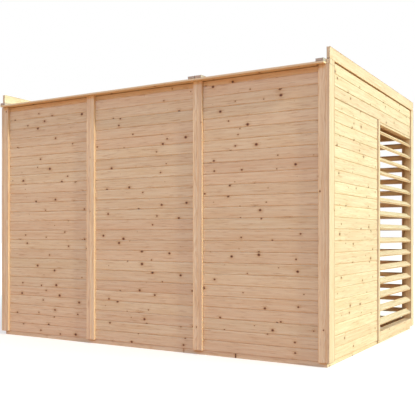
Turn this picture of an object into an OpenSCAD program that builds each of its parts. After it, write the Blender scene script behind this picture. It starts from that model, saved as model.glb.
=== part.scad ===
// Flat-roofed timber garden pavilion: closed boarded rear wall, half boarded and half
// louvred side walls, and an open front between two louvred bays.
//
// Millimetres, +Z up. The front faces -Y and the rear wall stands at +Y. Left and right
// are as seen from the front. The origin is at the middle of the overall footprint,
// on the ground.

/* [Overall] */
// Width of one of the three front bays, which the rear wall repeats
bay_w = 1120; // [900:10:1400]
// Width of one of the two bays of a side wall, measured over the frames
side_bay_w = 1225; // [900:5:1500]
// Height that one tongued and grooved board covers
board_cover = 88.7; // [70:0.1:110]
// Number of board courses from the base frame to the top fascia
courses = 25; // [22:1:28]
// Number of those courses that run on over the louvres and the entrance
header_courses = 3; // [2:1:4]
// How far the lowest header board reaches down below its course
header_lap = 15; // [0:1:30]

/* [Base frame] */
// Height of the base runners
base_h = 35; // [20:1:60]
// Width of the base runners
base_w = 42; // [36:1:60]

/* [Wall frames] */
// Face width of the frame timbers
frame_w = 42; // [36:1:50]
// Depth of the frame timbers behind the outer trim
frame_d = 42; // [36:1:60]
// Thickness of the outer trim boards: corner boards and fascias
trim_t = 28; // [20:1:34]
// Thickness of the tongued and grooved wall boards
board_t = 14; // [12:1:19]
// How far the side and header boards lie behind the trim face
side_recess = 14; // [0:1:14]
// How far the rear boards lie behind the rear frame face
rear_recess = 25; // [10:1:28]
// Width of the side corner boards at the rear
corner_board_w = 112; // [100:1:150]
// Width of the front corner posts, seen from the side
corner_post_w = 83; // [75:1:120]
// Width of the end stiles of the rear wall
end_stile_w = 58; // [50:1:80]
// Height of the middle rails above the underside of the walls
mid_rail_z = 1080; // [700:10:1400]

/* [Louvres] */
// Number of slats in each louvre panel
slats = 15; // [10:1:18]
// Width of a slat
slat_w = 60; // [45:1:70]
// Thickness of a slat
slat_t = 19; // [14:1:22]
// Tilt of a slat from level, its outer edge lower
slat_tilt = 37; // [15:1:45]
// How far the slats' outer edge lies behind the outer face
slat_setback = 2; // [0:1:8]
// Height of the sill rail under the slats
sill_h = 78; // [60:1:130]
// Height of the head rail over the slats
head_h = 20; // [16:1:45]
// Clearance from the sill rail to the lowest slat
slat_first = 52; // [20:1:70]
// Clearance from the highest slat to the head rail
slat_last = 36; // [20:1:60]
// Width of the front louvre stile beside the corner post
slim_stile_w = 30; // [25:1:50]

/* [Fascia] */
// Height of the fascia boards round the front and sides
fascia_h = 88; // [70:1:140]
// How far the fascias lap down over the top course
fascia_lap = 5; // [0:1:20]
// How far the rear ends of the side fascias stand back from the rear frame face
fascia_setback = 13; // [0:1:30]

/* [Roof] */
// Thickness of the roof boards
roof_t = 15; // [12:1:24]
// Overhang of the roof past the rear frame face
roof_overhang = 45; // [20:1:90]
// Fall of the roof towards the rear, in degrees
roof_fall = 1.5; // [0:0.1:2]
// Height from the underside of the roof at its rear edge to the underside of the fascia
roof_drop = 41; // [25:1:60]
// Gap between the two roof panels, and from a panel to the boards beside it
roof_gap = 2; // [1:0.5:5]
// Width of the battens on the edges of the roof panels
batten_w = 61; // [40:1:70]
// Height of the battens on the edges of the roof panels
batten_h = 22; // [15:1:26]
// Width of the rafters
rafter_w = 45; // [36:1:60]
// Depth of the rafters
rafter_d = 95; // [70:5:140]

/* [Hidden] */

// Plan: half the width, the two main faces, and the planes behind the trim
half_w = 3 * bay_w / 2;
y_front = -(2 * side_bay_w + roof_overhang) / 2;
y_rear = y_front + 2 * side_bay_w;
y_mid = y_rear - side_bay_w;
x_bay = bay_w / 2;
wall_d = trim_t + frame_d;
x_frame = half_w - trim_t;
x_inner = half_w - wall_d;
y_rear_inner = y_rear - wall_d;
y_front_inner = y_front + wall_d;
y_board_end = y_rear - corner_board_w;
y_post_end = y_front + corner_post_w;
y_eaves = y_rear + roof_overhang;
y_deck = y_front + trim_t + roof_gap;

// Levels
z_course = base_h + (courses - header_courses) * board_cover;
z_header = z_course - header_lap;
z_fascia = base_h + courses * board_cover - fascia_lap;
z_roof_rear = z_fascia - roof_drop;
z_head = z_header - head_h;
z_sill = base_h + sill_h;
header_rail_h = 2 * board_cover;

// Slats: rise of the tilted section and the pitch that fills the opening
slat_rise = slat_w * sin(slat_tilt) + slat_t * cos(slat_tilt);
slat_space = z_head - z_sill - slat_first - slat_last - slat_rise;
slat_pitch = slat_space / (slats - 1);

// How far a cut runs on past the faces that it opens
cut_past = 1;

// Rafters: five within the bays and one along each side wall
rafter_side_x = x_inner - rafter_w / 2;
rafter_xs = [-rafter_side_x, -bay_w, -x_bay, 0, x_bay, bay_w, rafter_side_x];

// Colours
spruce = "#E9C894";
spruce_light = "#F3DFA9";
spruce_shade = "#C9A473";
base_wood = "#DDBB8A";
batten_wood = "#B09A7E";

// Level of the roof's underside at the depth y
function roof_z(y) = z_roof_rear + (y_eaves - y) * tan(roof_fall);

// A straight timber between two opposite corners
module timber(low, high) {
    translate(low) cube(high - low);
}

// A shape drawn in Y and Z, carried along X from x0 to x1
module along_x(x0, x1) {
    translate([x0, 0, 0]) rotate([90, 0, 90]) linear_extrude(height = x1 - x0) children();
}

// A timber that follows the fall of the roof, its underside at a level above the roof line
module sloped_timber(x0, x1, y0, y1, above, thick) {
    along_x(x0, x1) polygon([[y0, roof_z(y0) + above], [y1, roof_z(y1) + above],
        [y1, roof_z(y1) + above + thick], [y0, roof_z(y0) + above + thick]]);
}

// An upright timber from the level z0, cut off on top along the underside of the roof
module cut_to_roof(x0, x1, y0, y1, z0) {
    along_x(x0, x1) polygon([[y0, z0], [y1, z0], [y1, roof_z(y1)], [y0, roof_z(y0)]]);
}

// Children kept on the left (side = -1) or mirrored to the right (side = 1)
module on_side(side) {
    mirror([side > 0 ? 1 : 0, 0, 0]) children();
}

// Everything that the roof boards occupy between the fascias, to cut walls clear of them
module roof_space() {
    sloped_timber(-x_frame, x_frame, y_front + trim_t, y_eaves, 0, z_fascia);
}

// Base frame: runners behind the trim planes, open across the entrance
module base_rear() {
    color(base_wood) timber([-x_frame, y_rear - trim_t - base_w, 0], [x_frame, y_rear - trim_t, base_h]);
}

module base_side(side) {
    color(base_wood) on_side(side)
        timber([-x_frame, y_front + trim_t, 0], [-x_frame + base_w, y_rear - trim_t - base_w, base_h]);
}

module base_front() {
    color(base_wood) for (side = [-1, 1]) on_side(side)
        timber([-x_frame + base_w, y_front + trim_t, 0],
            [-x_bay + frame_w, y_front + trim_t + base_w, base_h]);
}

// Rear wall: three panels, each two stiles with boards let in between and rails behind
function rear_bay_x0(bay) = bay == -1 ? -x_frame + end_stile_w : bay * bay_w - x_bay + frame_w;
function rear_bay_x1(bay) = -rear_bay_x0(-bay);

module rear_boards(bay) {
    color(spruce) timber([rear_bay_x0(bay), y_rear - rear_recess - board_t, base_h],
        [rear_bay_x1(bay), y_rear - rear_recess, roof_z(y_rear)]);
}

module rear_stile(x0, x1) {
    color(spruce) timber([x0, y_rear_inner, base_h], [x1, y_rear, roof_z(y_rear)]);
}

module rear_rails() {
    color(spruce_shade)
        for (bay = [-1, 0, 1], z = [base_h, base_h + mid_rail_z, roof_z(y_rear) - frame_w])
            timber([rear_bay_x0(bay), y_rear_inner, z],
                [rear_bay_x1(bay), y_rear - rear_recess - board_t, z + frame_w]);
}

// Corners: a board over the rear corner, notched for the roof, and a post at the front
module corner_board(side) {
    color(spruce_light) on_side(side) difference() {
        timber([-half_w, y_board_end, base_h], [-x_frame, y_rear, z_fascia]);
        timber([-half_w - cut_past, y_rear - fascia_setback, roof_z(y_rear)],
            [-x_frame + cut_past, y_rear + cut_past, z_fascia + cut_past]);
    }
}

module corner_post(side) {
    color(spruce_light) on_side(side) difference() {
        timber([-half_w, y_front, base_h], [-x_inner, y_post_end, z_fascia]);
        roof_space();
    }
}

// Side walls: boards in the rear half, header boards over both halves. The lowest header
// board reaches further down over the louvre than over the wall boards and the stile.
module side_boards(side) {
    color(spruce_light) on_side(side)
        timber([-half_w + side_recess, y_mid, base_h],
            [-half_w + side_recess + board_t, y_board_end, z_course]);
}

module side_header_boards(side) {
    color(spruce_light) on_side(side) along_x(-half_w + side_recess, -half_w + side_recess + board_t)
        polygon([[y_post_end, z_header], [y_mid - frame_w, z_header], [y_mid - frame_w, z_course],
            [y_board_end, z_course], [y_board_end, z_fascia], [y_post_end, z_fascia]]);
}

module side_studs(side) {
    color(spruce_shade) on_side(side) {
        cut_to_roof(-x_frame, -x_inner, y_rear_inner - frame_w, y_rear_inner, base_h);
        cut_to_roof(-x_frame, -x_inner, y_mid, y_mid + frame_w, base_h);
    }
}

// Rails between the studs, and one over the louvre that is notched for the louvre's stile
module side_rails(side) {
    color(spruce_shade) on_side(side) {
        for (z = [base_h, base_h + mid_rail_z, z_header])
            timber([-x_frame, y_mid + frame_w, z], [-x_inner, y_rear_inner - frame_w, z + frame_w]);
        difference() {
            timber([-x_frame, y_post_end, z_header], [-x_inner, y_mid, z_header + header_rail_h]);
            timber([-x_frame - cut_past, y_mid - frame_w, z_header - cut_past],
                [-x_inner + cut_past, y_mid + cut_past, z_course]);
            roof_space();
        }
    }
}

module side_fascia(side) {
    color(spruce_light) on_side(side)
        timber([-half_w, y_front, z_fascia], [-x_frame, y_rear - fascia_setback, z_fascia + fascia_h]);
}

// Louvres. The section of one slat is drawn with its outer lower corner to the front:
// the first axis is the depth behind the outer face, the second the height.
module slat_section(z) {
    translate([slat_setback + slat_t * sin(slat_tilt), z]) rotate(slat_tilt) square([slat_w, slat_t]);
}

module slat_set() {
    for (i = [0 : slats - 1]) slat_section(z_sill + slat_first + i * slat_pitch);
}

// Side louvre: the corner post closes its front, so its frame is a stile with two rails.
// The head rail lies flush with the boards over it.
module side_louvre_frame(side) {
    color(spruce_light) on_side(side) {
        timber([-half_w, y_mid - frame_w, base_h], [-x_inner, y_mid, z_course]);
        timber([-half_w, y_post_end, base_h], [-x_inner, y_mid - frame_w, z_sill]);
        timber([-half_w + side_recess, y_post_end, z_head], [-x_inner, y_mid - frame_w, z_header]);
    }
}

module side_louvre_slats(side) {
    color(spruce) on_side(side)
        translate([-half_w, y_mid - frame_w, 0]) rotate([90, 0, 0])
            linear_extrude(height = y_mid - frame_w - y_post_end) slat_set();
}

// Front louvre: between the corner post and the entrance post
front_louvre_x0 = -x_inner + slim_stile_w;
front_louvre_x1 = -x_bay - frame_w;

module front_louvre_frame(side) {
    color(spruce_light) on_side(side) {
        timber([-x_inner, y_front, base_h], [front_louvre_x0, y_front_inner, z_header]);
        timber([front_louvre_x1, y_front, base_h], [-x_bay, y_front_inner, z_header]);
        timber([front_louvre_x0, y_front, base_h], [front_louvre_x1, y_front_inner, z_sill]);
        timber([front_louvre_x0, y_front + side_recess, z_head],
            [front_louvre_x1, y_front_inner, z_header]);
    }
}

module front_louvre_slats(side) {
    color(spruce) on_side(side)
        translate([0, y_front, 0]) along_x(front_louvre_x0, front_louvre_x1) slat_set();
}

// Front: posts beside the entrance, a lintel and boards over all three bays, and a fascia
module entrance_post(side) {
    color(spruce_light) on_side(side)
        timber([-x_bay, y_front, base_h], [-x_bay + frame_w, y_front_inner, z_header]);
}

module front_lintel() {
    color(spruce_shade) timber([-x_inner, y_front + trim_t, z_header],
        [x_inner, y_front_inner, roof_z(y_front_inner) - rafter_d]);
}

module front_header_boards() {
    color(spruce) timber([-x_inner, y_front + side_recess, z_header],
        [x_inner, y_front + side_recess + board_t, z_fascia]);
}

module front_fascia() {
    color(spruce_light)
        timber([-x_frame, y_front, z_fascia], [x_frame, y_front + trim_t, z_fascia + fascia_h]);
}

// Roof: two boarded panels that meet over the left bay line
module roof_deck_left() {
    color(spruce_shade)
        sloped_timber(-x_frame + roof_gap / 2, -x_bay - roof_gap / 2, y_deck, y_eaves, 0, roof_t);
}

module roof_deck_right() {
    color(spruce_shade)
        sloped_timber(-x_bay + roof_gap / 2, x_frame - roof_gap / 2, y_deck, y_eaves, 0, roof_t);
}

// Battens on both edges of both panels
module roof_battens() {
    color(batten_wood)
        for (x0 = [-x_frame + roof_gap / 2, -x_bay - roof_gap / 2 - batten_w,
            -x_bay + roof_gap / 2, x_frame - roof_gap / 2 - batten_w])
            sloped_timber(x0, x0 + batten_w, y_deck, y_eaves, roof_t, batten_h);
}

// Rafters: they lie on the lintel at the front and butt against the rear frames
module rafters() {
    color(spruce_shade) for (x = rafter_xs)
        sloped_timber(x - rafter_w / 2, x + rafter_w / 2, y_deck, y_rear_inner, -rafter_d, rafter_d);
}

base_rear();
base_side(-1);  // base_left
base_side(1);  // base_right
base_front();
rear_boards(-1);  // rear_boards_left
rear_boards(0);  // rear_boards_middle
rear_boards(1);  // rear_boards_right
rear_stile(-x_frame, rear_bay_x0(-1));  // rear_stile_left_outer
rear_stile(rear_bay_x1(-1), -x_bay);  // rear_stile_left_inner
rear_stile(-x_bay, rear_bay_x0(0));  // rear_stile_middle_left
rear_stile(rear_bay_x1(0), x_bay);  // rear_stile_middle_right
rear_stile(x_bay, rear_bay_x0(1));  // rear_stile_right_inner
rear_stile(rear_bay_x1(1), x_frame);  // rear_stile_right_outer
rear_rails();
corner_board(-1);  // corner_board_left
corner_board(1);  // corner_board_right
corner_post(-1);  // corner_post_left
corner_post(1);  // corner_post_right
side_boards(-1);  // side_boards_left
side_boards(1);  // side_boards_right
side_header_boards(-1);  // side_header_boards_left
side_header_boards(1);  // side_header_boards_right
side_studs(-1);  // side_studs_left
side_studs(1);  // side_studs_right
side_rails(-1);  // side_rails_left
side_rails(1);  // side_rails_right
side_fascia(-1);  // side_fascia_left
side_fascia(1);  // side_fascia_right
side_louvre_frame(-1);  // side_louvre_frame_left
side_louvre_frame(1);  // side_louvre_frame_right
side_louvre_slats(-1);  // side_louvre_slats_left
side_louvre_slats(1);  // side_louvre_slats_right
front_louvre_frame(-1);  // front_louvre_frame_left
front_louvre_frame(1);  // front_louvre_frame_right
front_louvre_slats(-1);  // front_louvre_slats_left
front_louvre_slats(1);  // front_louvre_slats_right
entrance_post(-1);  // entrance_post_left
entrance_post(1);  // entrance_post_right
front_lintel();
front_header_boards();
front_fascia();
roof_deck_left();
roof_deck_right();
roof_battens();
rafters();
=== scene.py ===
"""Looks of a flat-roofed spruce garden pavilion, built around its packed construction.

Each node of the construction gets one piece in its place, made of separate boards or
timbers with joints, eased edges and their own cut from the log.
"""

import logging
import math
from dataclasses import dataclass, field
from enum import Enum
from functools import partial
from typing import Any, Callable, Iterable, Sequence

import bpy
import numpy as np
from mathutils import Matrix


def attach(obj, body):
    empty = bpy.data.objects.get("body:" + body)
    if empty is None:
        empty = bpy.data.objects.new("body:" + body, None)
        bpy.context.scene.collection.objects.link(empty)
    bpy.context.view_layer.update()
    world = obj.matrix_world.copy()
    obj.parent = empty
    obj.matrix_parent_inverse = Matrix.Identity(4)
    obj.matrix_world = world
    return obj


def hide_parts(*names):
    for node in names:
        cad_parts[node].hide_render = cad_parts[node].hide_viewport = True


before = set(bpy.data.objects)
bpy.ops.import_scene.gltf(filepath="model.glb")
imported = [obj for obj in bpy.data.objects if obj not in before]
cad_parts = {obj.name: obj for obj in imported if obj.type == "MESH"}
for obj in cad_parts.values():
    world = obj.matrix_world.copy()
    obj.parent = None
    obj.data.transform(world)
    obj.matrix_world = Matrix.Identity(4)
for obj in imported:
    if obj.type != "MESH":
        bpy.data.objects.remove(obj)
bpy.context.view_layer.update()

LOG = logging.getLogger("pavilion")
MM = 0.001
ROOT = "root"
SEED = 547

# Corners nearer than the first are one corner, and places nearer than the second are one
# place. Places are rounded to these digits of a metre. A box has eight corners.
SAME_CORNER = 0.02 * MM
SAME_PLACE = 1e-4
PLACE_DIGITS = 5
BOX_CORNERS = 8

# Inputs of a Map Range node, and the colour sockets of a Mix node.
VALUE, FROM_MIN, FROM_MAX, TO_MIN, TO_MAX = range(5)
SHARE, UNDER, OVER, MIXED = 0, 6, 7, 2
COLOURS = {"data_type": "RGBA"}

SIDES = ("left", "right")

Array = np.ndarray
Socket = bpy.types.NodeSocket
AddNode = Callable[..., bpy.types.Node]


class Grain(Enum):
    """The row axis that a timber's fibres run along."""

    X = 0
    Y = 1
    Z = 2


class Edge(Enum):
    """How the end of a timber is finished."""

    EASED = "eased"
    BUTT = "butt"


def srgb(hex_colour: str) -> tuple[float, float, float, float]:
    """Turns an sRGB hex colour to linear light.

    The standard's curve is a straight line near black and a power of 2.4 above it.

    Args:
        hex_colour: six hex digits after a hash.

    Returns:
        Linear red, green, blue and an alpha of 1.
    """
    raw = np.array([int(hex_colour[i : i + 2], 16) for i in (1, 3, 5)]) / 255.0
    linear = np.where(raw <= 0.04045, raw / 12.92, ((raw + 0.055) / 1.055) ** 2.4)
    return (*(float(v) for v in linear), 1.0)


def add_node(
    tree: bpy.types.NodeTree,
    kind: str,
    settings: dict[str, Any] | None = None,
    links: dict[int | str, Any] | None = None,
) -> bpy.types.Node:
    """Adds a shader node with its settings, and links or sets its inputs.

    Args:
        tree: the node tree that gets the node.
        kind: the node's type name, without the ShaderNode in front.
        settings: properties of the node.
        links: for each input, the socket that feeds it or its plain value.

    Returns:
        The new node.
    """
    node = tree.nodes.new("ShaderNode" + kind)
    for name, value in (settings or {}).items():
        setattr(node, name, value)
    for key, value in (links or {}).items():
        if isinstance(value, Socket):
            tree.links.new(value, node.inputs[key])
        else:
            node.inputs[key].default_value = value
    return node


def new_tree(name: str) -> tuple[bpy.types.Material, bpy.types.NodeTree]:
    """Makes a material with an empty node tree.

    Args:
        name: the material's name.

    Returns:
        The material and its tree.
    """
    material = bpy.data.materials.new(name)
    material.use_nodes = True
    material.node_tree.nodes.clear()
    return material, material.node_tree


def add_to_scene(name: str, data: bpy.types.ID) -> bpy.types.Object:
    """Puts a mesh, lamp or camera into the scene.

    Args:
        name: the object's name.
        data: what the object shows.

    Returns:
        The new object, at the origin.
    """
    thing = bpy.data.objects.new(name, data)
    bpy.context.scene.collection.objects.link(thing)
    return thing


# ---------------------------------------------------------------- finishes


@dataclass(frozen=True)
class Streak:
    """Noise drawn out along the fibres.

    per_metre counts its marks to the metre along, across and through the fibres.
    roughness is how much finer noise is mixed in.
    """

    per_metre: tuple[float, float, float]
    roughness: float

    def draw(self, add: AddNode, grain: Socket) -> Socket:
        """Draws the streaks.

        Args:
            add: adds a node to the tree.
            grain: the place in the log.

        Returns:
            The noise, from 0 to 1.
        """
        stretch = {0: grain, 1: self.per_metre}
        place = add("VectorMath", {"operation": "MULTIPLY"}, stretch).outputs[0]
        noise = {"Vector": place, "Scale": 1.0, "Detail": 3.0, "Roughness": self.roughness}
        return add("TexNoise", {}, noise).outputs[0]


@dataclass(frozen=True)
class Spruce:
    """Untreated spruce, planed: matt, pale straw wood with warm lines and brown knots.

    The pattern reads two attributes. "grain" is a place in the log in metres: along the
    fibres, across them, and through them, counted from the pith. "tone" holds three
    numbers of one board: its lightness, its blush, and the number of its log.
    """

    name: str
    early: str = "#EBDBBE"
    late: str = "#D8B88B"
    blush: str = "#DDB194"
    knot: str = "#5E3B28"
    knot_rim: str = "#A5704A"
    fleck: str = "#AF7C50"
    fleck_share: float = 0.55
    ring_mm: float = 4.0
    knot_gap_mm: float = 250.0
    knot_lane_mm: float = 90.0
    knot_mm: float = 15.0
    knot_share: float = 0.75
    roughness: float = 0.62
    ior: float = 1.5
    relief_mm: float = 0.25
    relief_strength: float = 0.35

    # Broad bands, short flecks and fine fibres. Real fibres are far finer than these,
    # which are as coarse as they need to be to show.
    BAND = Streak((2.2, 62.0, 62.0), 0.6)
    FLECK = Streak((7.0, 105.0, 105.0), 0.62)
    FIBRE = Streak((9.0, 520.0, 520.0), 0.7)

    # A knot counts its distance along the fibres as shorter, so it is longer that way.
    KNOT_ALONG = 0.8
    LEAST_KNOT_MM = 0.05
    RAGGED_MM = 9.0
    RAGGED = {TO_MIN: 0.75, TO_MAX: 1.25}

    # In knot radii: where a part of the knot begins to show, and where it is full.
    KNOT_PARTS = {"core": (0.62, 0.42), "rim": (1.15, 0.5), "halo": (3.2, 0.6)}

    # How the pith strays, and how many rings a knot pushes the lines outwards.
    STRAYS_PER_M = (1.6, 7.0, 7.0)
    STRAY_M = 0.05
    RINGS_PUSHED = 2.4

    # Within a ring, the late wood starts, is darkest, and has paled again here.
    LATE_STARTS, LATE_DARKEST, LATE_ENDS = 0.15, 0.82, 0.97
    PALED = (0.1, 0.1, 0.1, 1.0)

    # What part of the noise shows, and how dark or warm it makes the wood.
    BAND_WARMTH = {FROM_MIN: 0.35, FROM_MAX: 0.7, TO_MIN: 0.0, TO_MAX: 0.55}
    FLECK_RANGE = {FROM_MIN: 0.54, FROM_MAX: 0.74, TO_MIN: 0.0}
    FIBRE_SHADE = {FROM_MIN: 0.3, FROM_MAX: 0.75, TO_MIN: 1.05, TO_MAX: 0.9}
    BOARD_SHADE = {TO_MIN: 0.97, TO_MAX: 1.04}
    LATE_SHARE = 0.55
    BLUSH_SHARE = 0.6
    HALO_SHARE = 0.35
    FLECKS_AT_KNOT = 0.12

    def make(self) -> bpy.types.Material:
        """Builds the material.

        Returns:
            The finished material.
        """
        material, tree = new_tree(self.name)
        add = partial(add_node, tree)
        grain = add("Attribute", {"attribute_name": "grain"}).outputs["Vector"]
        knot = self.knots(add, grain)
        late = self.rings(add, grain, knot["halo"])
        fibre = self.FIBRE.draw(add, grain)
        wood = self.colour(add, grain, knot, late, fibre)
        height = add("Math", {"operation": "SUBTRACT"}, {0: fibre, 1: late}).outputs[0]
        relief = {"Strength": self.relief_strength, "Distance": self.relief_mm * MM}
        bump = add("Bump", {}, {**relief, "Height": height})
        gloss = {"Roughness": self.roughness, "IOR": self.ior}
        looks = {"Base Color": wood, "Normal": bump.outputs[0], **gloss}
        surface = add("BsdfPrincipled", {}, looks)
        add("OutputMaterial", {}, {"Surface": surface.outputs[0]})
        return material

    def knots(self, add: AddNode, grain: Socket) -> dict[str, Socket]:
        """Draws the knots, at most one to each long cell of the board.

        The distance to the cell's point, made ragged by noise, is divided by the radius
        that the cell's random number gives the knot: 0 in its middle and 1 at its edge.

        Args:
            add: adds a node to the tree.
            grain: the place in the log.

        Returns:
            How much of the knot's core, of its rim and of the warm halo round it shows.
        """
        gap, lane = self.knot_gap_mm * MM, self.knot_lane_mm * MM
        cell_size = {0: grain, 1: (gap, lane, 1.0)}
        cell = add("VectorMath", {"operation": "DIVIDE"}, cell_size).outputs[0]
        voronoi = add(
            "TexVoronoi",
            {"voronoi_dimensions": "2D", "feature": "F1"},
            {"Vector": cell, "Scale": 1.0},
        )
        off_cells = {0: cell, 1: voronoi.outputs["Position"]}
        off = add("VectorMath", {"operation": "SUBTRACT"}, off_cells).outputs[0]
        in_metres = {0: off, 1: (gap * self.KNOT_ALONG, lane, 0.0)}
        off_m = add("VectorMath", {"operation": "MULTIPLY"}, in_metres).outputs[0]
        reach = add("VectorMath", {"operation": "LENGTH"}, {0: off_m}).outputs["Value"]
        draw = add("SeparateColor", links={0: voronoi.outputs["Color"]}).outputs[0]
        grown = add(
            "MapRange",
            {},
            {
                VALUE: draw,
                FROM_MIN: 1.0 - self.knot_share,
                FROM_MAX: 1.0,
                TO_MIN: 0.0,
                TO_MAX: self.knot_mm * MM,
            },
        ).outputs[0]
        noise = {"Vector": grain, "Scale": 1.0 / (self.RAGGED_MM * MM), "Detail": 2.0}
        ragged = add("TexNoise", {}, noise).outputs[0]
        wobble = add("MapRange", {}, {VALUE: ragged, **self.RAGGED}).outputs[0]
        reach = add("Math", {"operation": "MULTIPLY"}, {0: reach, 1: wobble}).outputs[0]
        radius = add(
            "Math", {"operation": "MAXIMUM"}, {0: grown, 1: self.LEAST_KNOT_MM * MM}
        ).outputs[0]
        ratio = add("Math", {"operation": "DIVIDE"}, {0: reach, 1: radius}).outputs[0]
        return {
            part: add(
                "MapRange",
                {"interpolation_type": "SMOOTHSTEP"},
                {VALUE: ratio, FROM_MIN: shows, FROM_MAX: full, TO_MIN: 0.0, TO_MAX: 1.0},
            ).outputs[0]
            for part, (shows, full) in self.KNOT_PARTS.items()
        }

    def rings(self, add: AddNode, grain: Socket, halo: Socket) -> Socket:
        """Draws the growth rings: cylinders about the pith, ring_mm apart.

        The distance from a pith that strays along the log is divided by the ring's width,
        and the halo of a knot is added, so that the lines part round it. The fraction
        left is the place within the ring.

        Args:
            add: adds a node to the tree.
            grain: the place in the log.
            halo: how near a knot is.

        Returns:
            How dark the late wood is.
        """
        slow_at = {0: grain, 1: self.STRAYS_PER_M}
        slow = add("VectorMath", {"operation": "MULTIPLY"}, slow_at).outputs[0]
        noise = {"Vector": slow, "Scale": 1.0, "Detail": 2.0}
        wander = add("TexNoise", {}, noise).outputs["Color"]
        strayed = {0: wander, 1: (0.0, self.STRAY_M, self.STRAY_M), 2: grain}
        drift = add("VectorMath", {"operation": "MULTIPLY_ADD"}, strayed).outputs[0]
        no_length = {0: drift, 1: (0.0, 1.0, 1.0)}
        flat = add("VectorMath", {"operation": "MULTIPLY"}, no_length).outputs[0]
        radius = add("VectorMath", {"operation": "LENGTH"}, {0: flat}).outputs["Value"]
        count = add("Math", {"operation": "DIVIDE"}, {0: radius, 1: self.ring_mm * MM}).outputs[0]
        pushed = {0: halo, 1: self.RINGS_PUSHED, 2: count}
        swollen = add("Math", {"operation": "MULTIPLY_ADD"}, pushed).outputs[0]
        within = add("Math", {"operation": "FRACT"}, {0: swollen}).outputs[0]
        late = add("ValToRGB", links={0: within})
        marks = late.color_ramp.elements
        marks[0].position = self.LATE_STARTS
        marks[1].position = self.LATE_DARKEST
        marks.new(self.LATE_ENDS).color = self.PALED
        shade = {0: late.outputs[0], 1: self.LATE_SHARE}
        return add("Math", {"operation": "MULTIPLY"}, shade).outputs[0]

    def colour(
        self,
        add: AddNode,
        grain: Socket,
        knot: dict[str, Socket],
        late: Socket,
        fibre: Socket,
    ) -> Socket:
        """Lays the wood's colours over one another, from the early wood to the knots.

        Args:
            add: adds a node to the tree.
            grain: the place in the log.
            knot: how much of each part of a knot shows.
            late: how dark the late wood is.
            fibre: the fine fibres.

        Returns:
            The colour of the wood.
        """
        tone = add("Attribute", {"attribute_name": "tone"}).outputs["Vector"]
        board = add("SeparateXYZ", links={0: tone}).outputs
        band, fleck = self.BAND.draw(add, grain), self.FLECK.draw(add, grain)

        # Broad bands of warmer wood on top of the rings.
        warmer = add("MapRange", {}, {VALUE: band, **self.BAND_WARMTH}).outputs[0]
        darker = add(
            "Math", {"operation": "ADD", "use_clamp": True}, {0: late, 1: warmer}
        ).outputs[0]
        wood = add(
            "Mix", COLOURS, {SHARE: darker, UNDER: srgb(self.early), OVER: srgb(self.late)}
        ).outputs[MIXED]

        # Some boards blush, more so in their bands.
        part = add("Math", {"operation": "MULTIPLY"}, {0: band, 1: self.BLUSH_SHARE}).outputs[0]
        blushing = add("Math", {"operation": "MULTIPLY"}, {0: board[1], 1: part}).outputs[0]
        wood = add(
            "Mix", COLOURS, {SHARE: blushing, UNDER: wood, OVER: srgb(self.blush)}
        ).outputs[MIXED]

        # Fine fibres, and boards that are lighter or darker as a whole.
        fibres = add("MapRange", {}, {VALUE: fibre, **self.FIBRE_SHADE}).outputs[0]
        whole = add("MapRange", {}, {VALUE: board[0], **self.BOARD_SHADE}).outputs[0]
        level = add("Math", {"operation": "MULTIPLY"}, {0: fibres, 1: whole}).outputs[0]
        wood = add("VectorMath", {"operation": "SCALE"}, {0: wood, "Scale": level}).outputs[0]

        # Short brown flecks, more of them near a knot, and then the knot itself.
        near = {0: knot["halo"], 1: self.FLECKS_AT_KNOT, 2: fleck}
        nearer = add("Math", {"operation": "MULTIPLY_ADD"}, near).outputs[0]
        share = {VALUE: nearer, **self.FLECK_RANGE, TO_MAX: self.fleck_share}
        flecked = add("MapRange", {}, share).outputs[0]
        warm = {0: knot["halo"], 1: self.HALO_SHARE}
        halo = add("Math", {"operation": "MULTIPLY"}, warm).outputs[0]
        for covers, hex_colour in (
            (flecked, self.fleck),
            (halo, self.late),
            (knot["rim"], self.knot_rim),
            (knot["core"], self.knot),
        ):
            wood = add(
                "Mix", COLOURS, {SHARE: covers, UNDER: wood, OVER: srgb(hex_colour)}
            ).outputs[MIXED]
        return wood


@dataclass(frozen=True)
class PaleFloor:
    """Matt pale floor: white to the camera where it is lit, and warm in the light it returns.

    The glow is seen by the camera only, so it puts no light on the pavilion.
    """

    name: str = "pale_floor"
    colour: str = "#E6E4E0"
    bounce: str = "#E1AA81"
    glow: float = 0.35

    def make(self) -> bpy.types.Material:
        """Builds the material.

        Returns:
            The finished material.
        """
        material, tree = new_tree(self.name)
        add = partial(add_node, tree)
        seen = add("LightPath").outputs["Is Camera Ray"]
        tint = add(
            "Mix", COLOURS, {SHARE: seen, UNDER: srgb(self.bounce), OVER: srgb(self.colour)}
        ).outputs[MIXED]
        matt = add("BsdfDiffuse", {}, {"Color": tint})
        strength = add("Math", {"operation": "MULTIPLY"}, {0: seen, 1: self.glow}).outputs[0]
        glow = add("Emission", {}, {"Color": (1, 1, 1, 1), "Strength": strength})
        both = add("AddShader", {}, {0: matt.outputs[0], 1: glow.outputs[0]})
        add("OutputMaterial", {}, {"Surface": both.outputs[0]})
        return material


# ---------------------------------------------------------------- timber meshes


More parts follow.
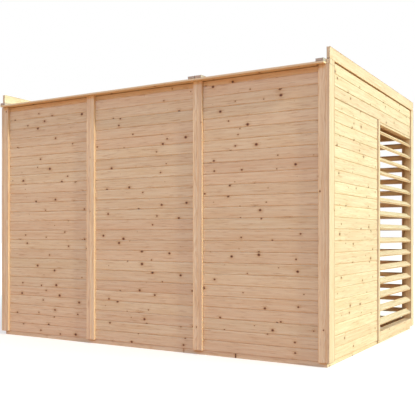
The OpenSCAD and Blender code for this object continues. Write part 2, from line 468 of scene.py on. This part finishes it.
@dataclass
class Timber:
    """One length of wood between two end outlines of four corners each.

    start and end are 4 x 3 arrays of corners in the same order round the timber. A timber
    that goes on is part of the timber added before it, past a notch.
    """

    start: Array
    end: Array
    ease: float = 2.0 * MM
    start_edge: Edge = Edge.EASED
    end_edge: Edge = Edge.EASED
    goes_on: bool = False

    # Points round each eased corner, the most of a side that it may take, and how far
    # along an eased end its middle outline lies, as a share of the ease.
    CORNER_STEPS = 3
    MOST_OF_SIDE = 0.3
    END_STEP = 0.3

    def length(self) -> float:
        """Length of the timber between the middles of its ends, in metres."""
        return float(np.linalg.norm(self.end.mean(0) - self.start.mean(0)))

    def sides(self) -> tuple[float, float]:
        """Lengths of the two sides of the start section, in metres."""
        wide, deep = (float(np.linalg.norm(self.start[k] - self.start[0])) for k in (1, 3))
        return wide, deep

    def axes(self) -> Array:
        """Directions along the timber and along both sides of its start, as three rows."""
        wide, deep = self.sides()
        return np.stack(
            [
                (self.end.mean(0) - self.start.mean(0)) / self.length(),
                (self.start[1] - self.start[0]) / wide,
                (self.start[3] - self.start[0]) / deep,
            ]
        )

    def stations(self) -> list[tuple[float, float]]:
        """Where outlines are laid, and how far each is drawn in.

        At an eased end the outline is drawn in by the whole ease at the end itself, by
        END_STEP of the ease that far along, and not at all a whole ease along.

        Returns:
            Pairs of a share of the length and an inset in metres.
        """
        length, step = self.length(), self.END_STEP * self.ease
        ends = {
            Edge.EASED: [(0.0, self.ease), (step / length, step), (self.ease / length, 0.0)],
            Edge.BUTT: [(0.0, 0.0)],
        }
        far = [(1.0 - share, inset) for share, inset in reversed(ends[self.end_edge])]
        return ends[self.start_edge] + far

    def outline(self, inset: float) -> Array:
        """Places round the section in units of its sides, its corners rounded.

        Each corner is a quarter circle of the radius of the eased edge, walked in equal
        angles: x = radius - radius cos a, y = radius - radius sin a, mirrored and scaled
        by the side lengths. The inset draws the whole outline in.

        Args:
            inset: how far the outline lies inside the section, in metres.

        Returns:
            An array of places with two parameters from 0 to 1.
        """
        wide, deep = self.sides()
        radius = min(self.ease, self.MOST_OF_SIDE * wide, self.MOST_OF_SIDE * deep)
        turn = np.linspace(0.0, 0.5 * math.pi, self.CORNER_STEPS)
        near = np.stack([radius - radius * np.cos(turn), radius - radius * np.sin(turn)], 1) + inset
        corners = [
            near[::-1],
            near * (-1, 1) + (wide, 0),
            near[::-1] * (-1, -1) + (wide, deep),
            near * (1, -1) + (0, deep),
        ]
        return np.concatenate(corners) / (wide, deep)

    def place(self, outline: Array, share: float) -> Array:
        """Lays an outline across the timber at a share of its length.

        The place is the bilinear blend of the four corners of the section there, and the
        section is the linear blend of both end outlines.

        Args:
            outline: places in units of the section's sides.
            share: 0 at the start and 1 at the end.

        Returns:
            Points in metres.
        """
        section = self.start + (self.end - self.start) * share
        u, v = outline[:, :1], outline[:, 1:]
        low = section[0] * (1 - u) + section[1] * u
        high = section[3] * (1 - u) + section[2] * u
        return low * (1 - v) + high * v


@dataclass
class Stock:
    """Timbers joined into one mesh, with their place in the log and their tone.

    rng gives each timber its own cut from the log, in a fixed order. A timber more than
    BOARD_RATIO times as deep as wide is a board, cut so that its broad faces show the knots.
    """

    rng: np.random.Generator
    points: list[Array] = field(default_factory=list)
    faces: list[tuple[int, ...]] = field(default_factory=list)
    grain: list[Array] = field(default_factory=list)
    tone: list[Array] = field(default_factory=list)
    count: int = 0
    origin: Array = field(default_factory=lambda: np.zeros(3))
    cut: Array = field(default_factory=lambda: np.zeros(3))
    cut_tone: Array = field(default_factory=lambda: np.zeros(3))

    BOARD_RATIO = 2.0

    # In metres: how far along its log a timber may start, to each side of the pith, and
    # out from it. LOGS is the range of the log's own number.
    ALONG = (0.0, 50.0)
    ASIDE = (-0.02, 0.02)
    OUT = (0.025, 0.07)
    LOGS = (0.5, 60.0)

    def cut_from_log(self) -> None:
        """Gives the next timber a random place in a log of its own, and its tone."""
        along, log = self.rng.uniform(*self.ALONG), self.rng.uniform(*self.LOGS)
        self.cut = np.array([along, self.rng.uniform(*self.ASIDE), self.rng.uniform(*self.OUT)])
        self.cut_tone = np.append(self.rng.uniform(0, 1, 2), round(log))

    def add_rings(self, rings: Sequence[Array], local: Sequence[Array]) -> None:
        """Joins rings of points, one after another, by a skin and closes both ends.

        Point k of each ring is joined to point k of the next, so the skin is a grid with
        the place round the section and the ring as its two parameters.

        Args:
            rings: rings of points in metres, all of one size.
            local: for each point, its place along, across and through the timber.
        """
        size = len(rings[0])
        first = np.arange(size)
        second = np.roll(first, -1)
        for step in range(len(rings) - 1):
            low = self.count + step * size
            quads = [low + first, low + second, low + size + second, low + size + first]
            self.faces.extend(map(tuple, np.stack(quads, 1).tolist()))
        last = self.count + (len(rings) - 1) * size
        self.faces.append(tuple((self.count + first[::-1]).tolist()))
        self.faces.append(tuple((last + first).tolist()))
        self.points.extend(rings)
        self.count += size * len(rings)
        places = np.concatenate(local)
        self.grain.append(places + self.cut)
        self.tone.append(np.tile(self.cut_tone, (len(places), 1)))

    def add_timber(self, timber: Timber) -> None:
        """Adds one timber: its rounded outline, carried from end to end.

        Args:
            timber: the timber to add.
        """
        if not timber.goes_on:
            self.cut_from_log()
            self.origin = timber.start[0]
        length, (wide, deep) = timber.length(), timber.sides()
        shift = timber.axes() @ (timber.start[0] - self.origin)
        rings, local = [], []
        for share, inset in timber.stations():
            outline = timber.outline(inset)
            along = np.full((len(outline), 1), share * length)
            places = np.concatenate([along, outline * (wide, deep)], 1) + shift
            rings.append(timber.place(outline, share))
            local.append(places[:, [0, 2, 1]] if deep > self.BOARD_RATIO * wide else places)
        self.add_rings(rings, local)

    def build(self, name: str, material: bpy.types.Material) -> bpy.types.Object:
        """Puts the timbers into one mesh object.

        Args:
            name: the object's name.
            material: its finish.

        Returns:
            The new object, at the origin.
        """
        mesh = bpy.data.meshes.new(name)
        mesh.from_pydata(np.concatenate(self.points).tolist(), [], self.faces)
        for label, rows in (("grain", self.grain), ("tone", self.tone)):
            layer = mesh.attributes.new(label, "FLOAT_VECTOR", "POINT")
            layer.data.foreach_set("vector", np.concatenate(rows).astype(np.float32).ravel())
        mesh.materials.append(material)
        mesh.update()
        mesh.validate()
        return add_to_scene(name, mesh)


# ---------------------------------------------------------------- reading the construction


def cad_solids(node: str) -> list[Array]:
    """Splits a CAD node's mesh into its solids.

    Corners that lie in one place get one label; each triangle then spreads the lowest
    label of its corners until nothing changes.

    Args:
        node: the CAD node's name.

    Returns:
        For each solid, its distinct corners in metres.
    """
    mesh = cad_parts[node].data
    points = np.empty(len(mesh.vertices) * 3)
    mesh.vertices.foreach_get("co", points)
    mesh.calc_loop_triangles()
    triangles = np.empty(len(mesh.loop_triangles) * 3, dtype=np.int64)
    mesh.loop_triangles.foreach_get("vertices", triangles)
    keys = np.round(points.reshape(-1, 3) / SAME_CORNER).astype(np.int64)
    distinct, which = np.unique(keys, axis=0, return_inverse=True)
    which = which.ravel()
    corners = which[triangles.reshape(-1, 3)]
    label = np.arange(len(distinct))
    while True:
        spread = label.copy()
        np.minimum.at(spread, corners, label[corners].min(1)[:, None])
        if (spread == label).all():
            break
        label = spread
    place = np.zeros((len(distinct), 3))
    place[which] = points.reshape(-1, 3)
    return [place[label == one] for one in np.unique(label)]


def stops_of(corners: Array, axis: int) -> Array:
    """The places along an axis where a solid has corners, lowest first."""
    return np.unique(np.round(corners[:, axis], PLACE_DIGITS))


def corners_at(corners: Array, axis: int, place: float) -> Array:
    """Those corners of a solid that lie at one place along an axis."""
    return corners[np.isclose(corners[:, axis], place, atol=SAME_PLACE)]


def box_corners(low: Sequence[float], high: Sequence[float]) -> Array:
    """Corners of a box, each of which takes its coordinates from either end.

    Args:
        low: the lowest corner.
        high: the highest corner.

    Returns:
        The eight corners.
    """
    pick = np.array(np.meshgrid([0, 1], [0, 1], [0, 1])).reshape(3, -1).T
    both = np.array([low, high], dtype=float)
    return np.stack([both[pick[:, k], k] for k in range(3)], 1)


def end_outline(corners: Array, grain: Grain) -> Array:
    """Sorts four corners into an order round the timber, by their angle about its middle.

    Args:
        corners: four corners of one end.
        grain: the axis that the timber runs along.

    Returns:
        The corners, anticlockwise as seen from the axis's positive end.
    """
    u, v = [(1, 2), (2, 0), (0, 1)][grain.value]
    flat = corners[:, [u, v]] - corners[:, [u, v]].mean(0)
    return corners[np.argsort(np.arctan2(flat[:, 1], flat[:, 0]))]


def timber_of(solid: Array, grain: Grain, **options: Any) -> Timber:
    """Makes a timber of a solid of eight corners.

    Args:
        solid: the eight corners.
        grain: the axis that the timber runs along.
        options: the timber's ease and edges, and whether it goes on.

    Returns:
        The timber.
    """
    order = np.argsort(solid[:, grain.value])
    start, end = solid[order[:4]], solid[order[4:]]
    return Timber(end_outline(start, grain), end_outline(end, grain), **options)


def finish_piece(piece: bpy.types.Object, nodes: Iterable[str]) -> None:
    """Rides a piece on the root body in place of its CAD nodes.

    Args:
        piece: the new object.
        nodes: the CAD nodes that it stands for.
    """
    nodes = list(nodes)
    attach(piece, ROOT)
    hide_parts(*nodes)
    LOG.info("%s: %d faces, for %s", piece.name, len(piece.data.polygons), ", ".join(nodes))


# ---------------------------------------------------------------- sub-assemblies


@dataclass
class FramePieces:
    """Plain timbers: each solid of each node becomes a timber with eased edges."""

    nodes: dict[str, Grain]
    material: bpy.types.Material
    rng: np.random.Generator
    ease: float = 2.0 * MM

    def build(self) -> None:
        """Builds and dresses one piece for each node."""
        for node, grain in self.nodes.items():
            stock = Stock(self.rng)
            for solid in cad_solids(node):
                for part, options in self.lengths(solid, grain):
                    stock.add_timber(timber_of(part, grain, ease=self.ease, **options))
            finish_piece(stock.build(node + "_wood", self.material), [node])

    @staticmethod
    def lengths(solid: Array, grain: Grain) -> list[tuple[Array, dict[str, Any]]]:
        """Splits a timber at its notch, where it has one.

        Args:
            solid: the timber's corners.
            grain: the axis that the timber runs along.

        Returns:
            For each length, its eight corners and the options of its timber.
        """
        if len(solid) == BOX_CORNERS:
            return [(solid, {})]
        stops = stops_of(solid, grain.value)
        parts = []
        for outer, near, options in (
            (stops[0], stops[1], {"end_edge": Edge.BUTT}),
            (stops[-1], stops[-2], {"start_edge": Edge.BUTT, "goes_on": True}),
        ):
            face = corners_at(solid, grain.value, outer)
            other = face.copy()
            other[:, grain.value] = near
            parts.append((np.concatenate([face, other]), options))
        return parts


@dataclass
class LouvreFrames:
    """Louvre frames: stiles and rails as separate timbers, butted where they meet.

    nodes gives each frame the axis that its rails lie along.
    """

    nodes: dict[str, Grain]
    material: bpy.types.Material
    rng: np.random.Generator
    ease: float = 2.0 * MM

    # Each rail's bottom and top among the frame's levels, and the level of its inner face.
    RAILS = ((0, 1, 1), (2, 3, 2))

    def build(self) -> None:
        """Builds one piece for each frame, its members read from the frame's own levels."""
        for node, grain in self.nodes.items():
            solid, run = cad_solids(node)[0], grain.value
            low, high = solid.min(0), solid.max(0)
            stops, levels = stops_of(solid, run), stops_of(solid, 2)
            stock = Stock(self.rng)
            span = [stops[0], stops[-1]]
            for end, stile in ((0, stops[:2]), (1, stops[-2:])):
                if not self.has_stile(solid, run, stile[-end]):
                    continue
                span[end] = stile[1 - end]
                a, b = low.copy(), high.copy()
                a[run], b[run] = stile
                self.member(stock, a, b, Grain.Z)
            for bottom, top, at in self.RAILS:
                face = corners_at(solid, 2, levels[at])
                a, b = face.min(0), face.max(0)
                a[run], b[run] = span
                a[2], b[2] = levels[bottom], levels[top]
                self.member(stock, a, b, grain)
            finish_piece(stock.build(node + "_wood", self.material), [node])

    @staticmethod
    def has_stile(solid: Array, run: int, stop: float) -> bool:
        """Whether the frame ends in a stile there: its end face then has only two levels."""
        return len(stops_of(corners_at(solid, run, stop), 2)) == 2

    def member(self, stock: Stock, low: Array, high: Array, grain: Grain) -> None:
        """Adds one stile or rail between its lowest and highest corner."""
        stock.add_timber(timber_of(box_corners(low, high), grain, ease=self.ease))


@dataclass
class CornerBoards:
    """Corner boards: full width up to the roof, then narrower behind the roof's overhang."""

    nodes: Sequence[str]
    material: bpy.types.Material
    rng: np.random.Generator
    ease: float = 2.0 * MM

    def build(self) -> None:
        """Builds one piece for each board, of two lengths that meet at the notch."""
        for node in self.nodes:
            solid = cad_solids(node)[0]
            low, high = solid.min(0), solid.max(0)
            back, notch = (stops_of(solid, axis)[-2] for axis in (1, 2))
            lower = box_corners(low, (high[0], high[1], notch))
            upper = box_corners((low[0], low[1], notch), (high[0], back, high[2]))
            stock = Stock(self.rng)
            for part, options in (
                (lower, {"end_edge": Edge.BUTT}),
                (upper, {"start_edge": Edge.BUTT, "goes_on": True}),
            ):
                stock.add_timber(timber_of(part, Grain.Z, ease=self.ease, **options))
            finish_piece(stock.build(node + "_wood", self.material), [node])


@dataclass
class BoardCourses:
    """Courses of tongued and grooved boards that fill a wall's CAD slab.

    outward is the axis and sign of the side that the weather sees. run is the axis that
    the boards lie along.
    """

    node: str
    run: Grain
    outward: tuple[int, int]
    material: bpy.types.Material
    rng: np.random.Generator
    cover: float = 88.7 * MM
    gap: float = 3.0 * MM
    chamfer: float = 4.8 * MM
    first_level: float = 35.0 * MM
    back_ease: float = 1.0 * MM
    tongue_t: float = 4.0 * MM
    tongue_h: float = 6.0 * MM
    tongue_play: float = 0.2 * MM
    groove_play: float = 0.5 * MM
    notch_ease: float = 1.5 * MM
    unevenness: float = 0.5 * MM

    # A rest lower than the cover divided by this stays part of the board beside it.
    LEAST_PART = 3

    def section(self, height: float, thick: float, tongue: bool) -> Array:
        """The board's outline: depth behind the weather face, and height.

        A rectangle with both face corners cut off at 45 degrees, a groove in the middle
        of the lower edge and a tongue on the upper one.

        Args:
            height: how high the board's face stands.
            thick: thickness of the board.
            tongue: whether the board ends in a tongue.

        Returns:
            The outline's points, depth then height.
        """
        c, e, mid, half = self.chamfer, self.back_ease, 0.5 * thick, 0.5 * self.tongue_t
        groove = self.tongue_h + self.groove_play
        lower = [(0, c), (c, 0), (mid - half, 0), (mid - half, groove)]
        lower += [(mid + half, groove), (mid + half, 0), (thick - e, 0), (thick, e)]
        top = height - self.gap
        upper = [(thick, top - e), (thick - e, top), (c, top), (0, top - c)]
        if tongue:
            slim, tip = half - self.tongue_play, top + self.tongue_h
            near, far = mid - slim, mid + slim
            upper[2:2] = [(far, top), (far, tip), (near, tip), (near, top)]
        return np.array(lower + upper)

    def joints(self, bottom: float, top: float) -> Array:
        """Levels that the boards meet at: even steps up from the base frame.

        The level i lies at first_level + i * cover, and the first and last boards also
        take up a rest that is too low for a board of its own.

        Args:
            bottom: lowest level of the slab.
            top: highest level of the slab.

        Returns:
            The levels, with the slab's bottom first and its top last.
        """
        rest = self.cover / self.LEAST_PART
        count = math.ceil((top - self.first_level) / self.cover)
        levels = self.first_level + self.cover * np.arange(count + 1)
        inner = levels[(levels > bottom + rest) & (levels < top - rest)]
        return np.concatenate([[bottom], inner, [top]])

    def stations(self, corners: Array) -> list[tuple[float, float]]:
        """Where the lowest board changes its lower edge, from its low end to its high end.

        A slab without a step has corners at its two ends only.

        Args:
            corners: the slab's corners.

        Returns:
            Pairs of a place along the run and the level of the lower edge there.
        """
        stops = stops_of(corners, self.run.value)
        floor = [corners_at(corners, self.run.value, stop)[:, 2].min() for stop in stops]
        if len(stops) < 3:
            return list(zip(stops, floor))
        return [
            (stops[0], floor[0]),
            (stops[1] - self.notch_ease, floor[0]),
            (stops[1], floor[-1]),
            (stops[-1], floor[-1]),
        ]

    def build(self) -> None:
        """Builds the courses from the bottom of the slab to its top."""
        corners = cad_solids(self.node)[0]
        low, high = corners.min(0), corners.max(0)
        axis, sign = self.outward
        run = self.run.value
        thick = high[axis] - low[axis]
        face = high[axis] if sign > 0 else low[axis]
        turned = (self.run is Grain.X) == (sign > 0)
        levels = self.joints(low[2], high[2])
        topmost = len(levels) - 2
        stock = Stock(self.rng)
        for i, (bottom, top) in enumerate(zip(levels[:-1], levels[1:])):
            set_back = self.rng.uniform(0.0, self.unevenness)
            ends = self.stations(corners) if i == 0 else [(low[run], bottom), (high[run], bottom)]
            rings, local = [], []
            for place, start in ends:
                shape = self.section(top - start, thick, tongue=i < topmost)
                points = np.zeros((len(shape), 3))
                points[:, axis] = face - sign * (shape[:, 0] * (1 - set_back / thick) + set_back)
                points[:, run] = place
                points[:, 2] = start + shape[:, 1]
                across = points[:, 2] - bottom
                if turned:
                    points, shape, across = points[::-1], shape[::-1], across[::-1]
                rings.append(points)
                local.append(np.stack([np.full(len(shape), place), across, shape[:, 0]], 1))
            stock.cut_from_log()
            stock.add_rings(rings, local)
        finish_piece(stock.build(self.node + "_courses", self.material), [self.node])


@dataclass
class RoofDecks:
    """Roof panels of boards that lie across the fall; their tongues and grooves are not drawn, only
    chamfered lower edges.
    """

    nodes: Sequence[str]
    material: bpy.types.Material
    rng: np.random.Generator
    cover: float = 88.0 * MM
    gap: float = 1.2 * MM
    chamfer: float = 2.5 * MM
    ease: float = 0.5 * MM

    def build(self) -> None:
        """Builds each panel's boards from the rear edge to the front."""
        for node in self.nodes:
            solid = cad_solids(node)[0]
            low, high = solid.min(0), solid.max(0)
            front, rear = corners_at(solid, 1, low[1]), corners_at(solid, 1, high[1])
            thick = float(np.ptp(front[:, 2]))
            level = rear[:, 2].min()
            reach = high[1] - low[1]
            slope = (front[:, 2].min() - level) / reach
            count = round(reach / self.cover)
            step = reach / count
            stock = Stock(self.rng)
            for i in range(count):
                back = high[1] - i * step
                flat = self.section(back - step + self.gap, back, thick)
                points = np.insert(flat, 0, 0.0, axis=1)
                points[:, 2] = level + (high[1] - flat[:, 0]) * slope + flat[:, 1]
                span = (front[:, 0].min(), front[:, 0].max())
                stock.cut_from_log()
                stock.add_rings(
                    [points + (place, 0.0, 0.0) for place in span],
                    [np.insert(flat - flat.min(0), 0, place, axis=1) for place in span],
                )
            finish_piece(stock.build(node + "_courses", self.material), [node])

    def section(self, front: float, back: float, thick: float) -> Array:
        """A roof board's outline: a rectangle with its lower corners cut off at 45 degrees.

        Args:
            front: place of the board's front edge.
            back: place of its rear edge.
            thick: thickness of the board.

        Returns:
            The outline's points, place then height above the panel's lower face.
        """
        c, e = self.chamfer, self.ease
        lower = [(front + c, 0), (back - c, 0), (back, c)]
        return np.array(lower + [(back, thick - e), (back - e, thick), (front, thick), (front, c)])


# ---------------------------------------------------------------- studio


@dataclass(frozen=True)
class Lamp:
    """A distant lamp.

    towards points from the pavilion to the lamp. level is the linear light that a white
    wall turned square to the lamp gives back. angle is how wide the lamp looks, in
    degrees, and a wider one casts softer shadows.
    """

    name: str
    towards: tuple[float, float, float]
    level: tuple[float, float, float]
    angle: float

    def build(self) -> None:
        """Adds the lamp as a sun that shines from the direction towards it."""
        data = bpy.data.lights.new(self.name, "SUN")
        data.energy = math.pi * max(self.level)
        data.color = [part / max(self.level) for part in self.level]
        data.angle = math.radians(self.angle)
        x, y, z = self.towards
        tilt, turn = math.atan2(math.hypot(x, y), z), math.atan2(y, x) + 0.5 * math.pi
        add_to_scene(self.name, data).rotation_euler = (tilt, 0.0, turn)


@dataclass
class Studio:
    """Pale floor, white surround, soft light from the left and the rear, and the camera."""

    floor_half: float = 60.0
    fill: tuple[float, float, float] = (0.58, 0.58, 0.56)
    lamps: Sequence[Lamp] = (
        Lamp("key", (-1.0, 0.147, 0.65), (0.55, 0.46, 0.36), 3.0),
        Lamp("left_sky", (-1.0, -0.25, 0.35), (0.34, 0.74, 0.71), 50.0),
        Lamp("rear_sky", (-0.10, 1.0, 0.60), (0.06, 0.12, 0.24), 2.5),
    )
    camera_at: tuple[float, float, float] = (-3.402, 5.8296, 0.9625)
    look: tuple[float, float] = (0.5103, -0.860)
    lens: float = 58.37
    sensor: float = 36.0
    shift_y: float = 0.0675
    sight: float = 200.0

    def build(self) -> None:
        """Builds the floor, the lights and the camera."""
        self.floor()
        self.world()
        for lamp in self.lamps:
            lamp.build()
        self.camera()
        bpy.context.scene.view_settings.view_transform = "Standard"

    def floor(self) -> None:
        """A level floor that keeps the pavilion's shadow."""
        mesh = bpy.data.meshes.new("floor")
        h = self.floor_half
        mesh.from_pydata([(-h, -h, 0), (h, -h, 0), (h, h, 0), (-h, h, 0)], [], [(0, 1, 2, 3)])
        mesh.materials.append(PaleFloor().make())
        add_to_scene("floor", mesh)

    def world(self) -> None:
        """An even fill light; the camera and mirrors see plain white."""
        world = bpy.data.worlds.new("surround")
        bpy.context.scene.world = world
        world.use_nodes = True
        world.node_tree.nodes.clear()
        add = partial(add_node, world.node_tree)
        path = add("LightPath").outputs
        rays = {0: path["Is Camera Ray"], 1: path["Is Glossy Ray"]}
        seen = add("Math", {"operation": "MAXIMUM"}, rays).outputs[0]
        fill = add("Background", {}, {"Color": (*self.fill, 1.0), "Strength": 1.0}).outputs[0]
        white = add("Background", {}, {"Color": (1, 1, 1, 1), "Strength": 1.0}).outputs[0]
        mix = add("MixShader", {}, {0: seen, 1: fill, 2: white})
        add("OutputWorld", {}, {"Surface": mix.outputs[0]})

    def camera(self) -> None:
        """A level camera off the rear corner, its picture shifted up a little."""
        data = bpy.data.cameras.new("camera")
        data.lens = self.lens
        data.sensor_width = self.sensor
        data.shift_y = self.shift_y
        data.clip_end = self.sight
        thing = add_to_scene("camera", data)
        thing.location = self.camera_at
        thing.rotation_euler = (0.5 * math.pi, 0.0, math.atan2(-self.look[0], self.look[1]))
        bpy.context.scene.camera = thing


# ---------------------------------------------------------------- pavilion


@dataclass
class Pavilion:
    """The whole pavilion: every CAD node gets a detailed piece in its place."""

    rng: np.random.Generator = field(default_factory=lambda: np.random.default_rng(SEED))

    def build(self) -> None:
        """Builds walls, frames, louvres and roof in order.

        All of it is planed spruce. The rear wall's stiles are paler, partly as paler wood and
        partly as painted light, since they stand proud of the shaded boards. The frames have
        smaller and fewer knots, and the roof battens are sawn, greyer and darker.
        """
        boards = Spruce("spruce_boards").make()
        side_boards = Spruce("spruce_side_boards").make()
        frames = Spruce("spruce_frames", knot_share=0.3, knot_gap_mm=420.0, knot_mm=8.0).make()
        # Paler copy of the frame wood for the rear stiles: partly paler wood, partly painted light,
        # as the stiles stand proud of the shaded boards and get less shade.
        stiles = Spruce(
            "spruce_stiles_pale_wood_painted_light", early="#F5E5C6", late="#E0C091", knot_share=0.3, knot_mm=8.0
        ).make()
        base = Spruce("spruce_base", roughness=0.75).make()
        # Greyer, darker wood for the roof battens.
        grey_battens = Spruce(
            "spruce_battens", early="#C6BBB0", late="#A89A8E", roughness=0.8
        ).make()

        for bay in ("left", "middle", "right"):
            BoardCourses(f"rear_boards_{bay}", Grain.X, (1, 1), boards, self.rng).build()
        for side, sign in zip(SIDES, (-1, 1)):
            for part in ("side_boards", "side_header_boards"):
                node = f"{part}_{side}"
                BoardCourses(node, Grain.Y, (0, sign), side_boards, self.rng).build()
        BoardCourses("front_header_boards", Grain.X, (1, -1), side_boards, self.rng).build()
        FramePieces(self.rear_stiles(), stiles, self.rng).build()
        FramePieces(self.outer_frame(), frames, self.rng).build()
        FramePieces(self.inner_frame(), frames, self.rng).build()
        FramePieces(self.base_runners(), base, self.rng, ease=1.0 * MM).build()
        FramePieces({"roof_battens": Grain.Y}, grey_battens, self.rng, ease=1.0 * MM).build()
        CornerBoards(["corner_board_left", "corner_board_right"], frames, self.rng).build()
        LouvreFrames(self.louvres("frame"), frames, self.rng).build()
        FramePieces(self.louvres("slats"), frames, self.rng, ease=1.5 * MM).build()
        RoofDecks(["roof_deck_left", "roof_deck_right"], boards, self.rng).build()

    @staticmethod
    def rear_stiles() -> dict[str, Grain]:
        """Stiles of the rear wall, with the way their fibres run."""
        left = ("left_outer", "left_inner", "middle_left")
        right = ("middle_right", "right_inner", "right_outer")
        return {f"rear_stile_{place}": Grain.Z for place in left + right}

    @staticmethod
    def outer_frame() -> dict[str, Grain]:
        """Posts and fascias, with the way their fibres run."""
        nodes = {}
        for side in SIDES:
            nodes[f"corner_post_{side}"] = Grain.Z
            nodes[f"entrance_post_{side}"] = Grain.Z
            nodes[f"side_fascia_{side}"] = Grain.Y
        nodes["front_fascia"] = Grain.X
        return nodes

    @staticmethod
    def inner_frame() -> dict[str, Grain]:
        """Timbers on the inside, with the way their fibres run."""
        nodes = {"rear_rails": Grain.X, "front_lintel": Grain.X, "rafters": Grain.Y}
        for side in SIDES:
            nodes[f"side_studs_{side}"] = Grain.Z
            nodes[f"side_rails_{side}"] = Grain.Y
        return nodes

    @staticmethod
    def base_runners() -> dict[str, Grain]:
        """Runners under the walls, with the way their fibres run."""
        runs = {"rear": Grain.X, "front": Grain.X, "left": Grain.Y, "right": Grain.Y}
        return {f"base_{wall}": run for wall, run in runs.items()}

    @staticmethod
    def louvres(part: str) -> dict[str, Grain]:
        """The louvre panels' nodes for one part, with the way that rails and slats run."""
        runs = {"side": Grain.Y, "front": Grain.X}
        return {f"{wall}_louvre_{part}_{side}": run for wall, run in runs.items() for side in SIDES}


def main() -> None:
    """Builds the studio and the pavilion."""
    logging.basicConfig(level=logging.INFO, format="%(name)s: %(message)s")
    Studio().build()
    Pavilion().build()


if __name__ == "__main__":
    main()
